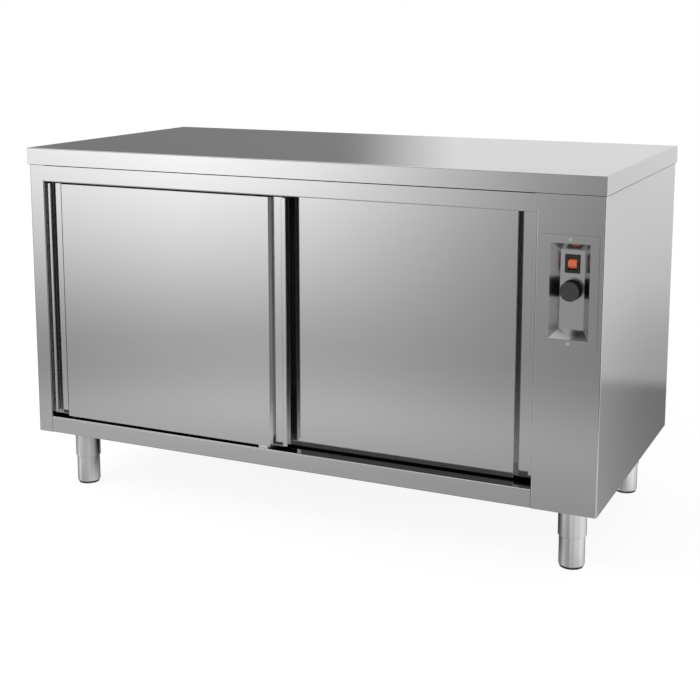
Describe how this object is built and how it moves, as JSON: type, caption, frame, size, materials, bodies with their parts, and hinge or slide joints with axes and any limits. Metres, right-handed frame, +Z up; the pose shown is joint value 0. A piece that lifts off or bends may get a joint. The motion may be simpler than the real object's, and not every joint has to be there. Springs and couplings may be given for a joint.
{
  "type": "plate warmer cabinet",
  "caption": "Low heated stainless steel cupboard with a flat worktop, sliding doors, recessed controls and adjustable round feet.",
  "frame": {"origin": "on the floor, under the middle of the cabinet's bounding box", "axes": "+X to the right as seen from the door side, +Y towards the back, +Z up"},
  "size_m": [1.4, 0.7, 0.85],
  "materials": {
    "stainless_steel": "satin",
    "zinc_steel": "zinc plated",
    "mineral_wool": "matt",
    "track_aluminium": "extruded",
    "stop_rubber": "matt",
    "guide_nylon": "moulded",
    "switch_black": "moulded",
    "rocker_orange": "moulded, translucent",
    "knob_black": "moulded",
    "thermostat_body": "moulded",
    "motor_paint": "painted",
    "fan_aluminium": "pressed",
    "element_steel": "annealed",
    "ceramic": "ceramic",
    "gland_nylon": "moulded",
    "core_board": "matt",
    "roller_nylon": "moulded"
  },
  "bodies": {
    "cabinet": {"worktop": "stainless_steel", "front_frame": "stainless_steel", "bottom_rail": "stainless_steel", "left_side_panel": "stainless_steel", "right_side_panel": "stainless_steel", "back_panel": "stainless_steel", "service_cover": "stainless_steel", "base_pan": "stainless_steel", "chamber_floor": "stainless_steel", "chamber_ceiling": "stainless_steel", "chamber_left_wall": "stainless_steel", "chamber_back_wall": "stainless_steel", "chamber_partition": "stainless_steel", "middle_shelf": "stainless_steel", "shelf_uprights": "stainless_steel", "shelf_clips": "stainless_steel", "control_plate": "stainless_steel", "heater_box": "stainless_steel", "worktop_stiffeners": "zinc_steel", "cover_screws": "zinc_steel", "leg_bolts": "zinc_steel", "plate_screws": "zinc_steel", "insulation": "mineral_wool", "door_track": "track_aluminium", "door_stops": "stop_rubber", "door_guide": "guide_nylon", "switch_housing": "switch_black", "thermostat": "thermostat_body", "fan_motor": "motor_paint", "heating_element": "element_steel", "terminal_block": "ceramic", "cable_gland": "gland_nylon", "front_left_leg": "stainless_steel", "front_right_leg": "stainless_steel", "rear_left_leg": "stainless_steel", "rear_right_leg": "stainless_steel"},
    "left_door": {"left_door_front": "stainless_steel", "left_door_back": "stainless_steel", "left_door_left_grip": "stainless_steel", "left_door_right_grip": "stainless_steel", "left_door_core": "core_board", "left_door_hangers": "zinc_steel"},
    "left_door_left_wheel": {"left_door_left_roller": "roller_nylon"},
    "left_door_right_wheel": {"left_door_right_roller": "roller_nylon"},
    "right_door": {"right_door_front": "stainless_steel", "right_door_back": "stainless_steel", "right_door_left_grip": "stainless_steel", "right_door_right_grip": "stainless_steel", "right_door_core": "core_board", "right_door_hangers": "zinc_steel"},
    "right_door_left_wheel": {"right_door_left_roller": "roller_nylon"},
    "right_door_right_wheel": {"right_door_right_roller": "roller_nylon"},
    "rocker": {"switch_rocker": "rocker_orange"},
    "knob": {"thermostat_knob": "knob_black", "thermostat_spindle": "zinc_steel"},
    "fan": {"fan_impeller": "fan_aluminium"},
    "front_left_levelling_foot": {"front_left_foot": "stainless_steel"},
    "front_right_levelling_foot": {"front_right_foot": "stainless_steel"},
    "rear_left_levelling_foot": {"rear_left_foot": "stainless_steel"},
    "rear_right_levelling_foot": {"rear_right_foot": "stainless_steel"}
  },
  "joints": [
    {"name": "left_door_slide", "type": "slide", "parent": "cabinet", "child": "left_door", "axis": [1, 0, 0], "range_m": [0, 0.5625]},
    {"name": "right_door_slide", "type": "slide", "parent": "cabinet", "child": "right_door", "axis": [-1, 0, 0], "range_m": [0, 0.5625]},
    {"name": "left_door_left_wheel_spin", "type": "hinge", "parent": "left_door", "child": "left_door_left_wheel", "pos_m": [-0.597, -0.3268, 0.792], "axis": [0, 1, 0], "continuous": true},
    {"name": "left_door_right_wheel_spin", "type": "hinge", "parent": "left_door", "child": "left_door_right_wheel", "pos_m": [-0.073, -0.3268, 0.792], "axis": [0, 1, 0], "continuous": true},
    {"name": "right_door_left_wheel_spin", "type": "hinge", "parent": "right_door", "child": "right_door_left_wheel", "pos_m": [-0.0345, -0.2928, 0.792], "axis": [0, 1, 0], "continuous": true},
    {"name": "right_door_right_wheel_spin", "type": "hinge", "parent": "right_door", "child": "right_door_right_wheel", "pos_m": [0.4895, -0.2928, 0.792], "axis": [0, 1, 0], "continuous": true},
    {"name": "rocker_tilt", "type": "hinge", "parent": "cabinet", "child": "rocker", "pos_m": [0.62875, -0.32, 0.6675], "axis": [1, 0, 0], "range_deg": [0, 14]},
    {"name": "knob_turn", "type": "hinge", "parent": "cabinet", "child": "knob", "pos_m": [0.62875, -0.3245, 0.614], "axis": [0, 1, 0], "range_deg": [0, 270]},
    {"name": "fan_spin", "type": "hinge", "parent": "cabinet", "child": "fan", "pos_m": [0.5712, 0.11, 0.33], "axis": [1, 0, 0], "continuous": true},
    {"name": "front_left_foot_extend", "type": "slide", "parent": "cabinet", "child": "front_left_levelling_foot", "axis": [0, 0, -1], "range_m": [0, 0.05]},
    {"name": "front_right_foot_extend", "type": "slide", "parent": "cabinet", "child": "front_right_levelling_foot", "axis": [0, 0, -1], "range_m": [0, 0.05]},
    {"name": "rear_left_foot_extend", "type": "slide", "parent": "cabinet", "child": "rear_left_levelling_foot", "axis": [0, 0, -1], "range_m": [0, 0.05]},
    {"name": "rear_right_foot_extend", "type": "slide", "parent": "cabinet", "child": "rear_right_levelling_foot", "axis": [0, 0, -1], "range_m": [0, 0.05]}
  ],
  "couplings": [
    {"joint": "left_door_left_wheel_spin", "follows": "left_door_slide", "rad_per_m": 100},
    {"joint": "left_door_right_wheel_spin", "follows": "left_door_slide", "rad_per_m": 100},
    {"joint": "right_door_left_wheel_spin", "follows": "right_door_slide", "rad_per_m": -100},
    {"joint": "right_door_right_wheel_spin", "follows": "right_door_slide", "rad_per_m": -100}
  ]
}
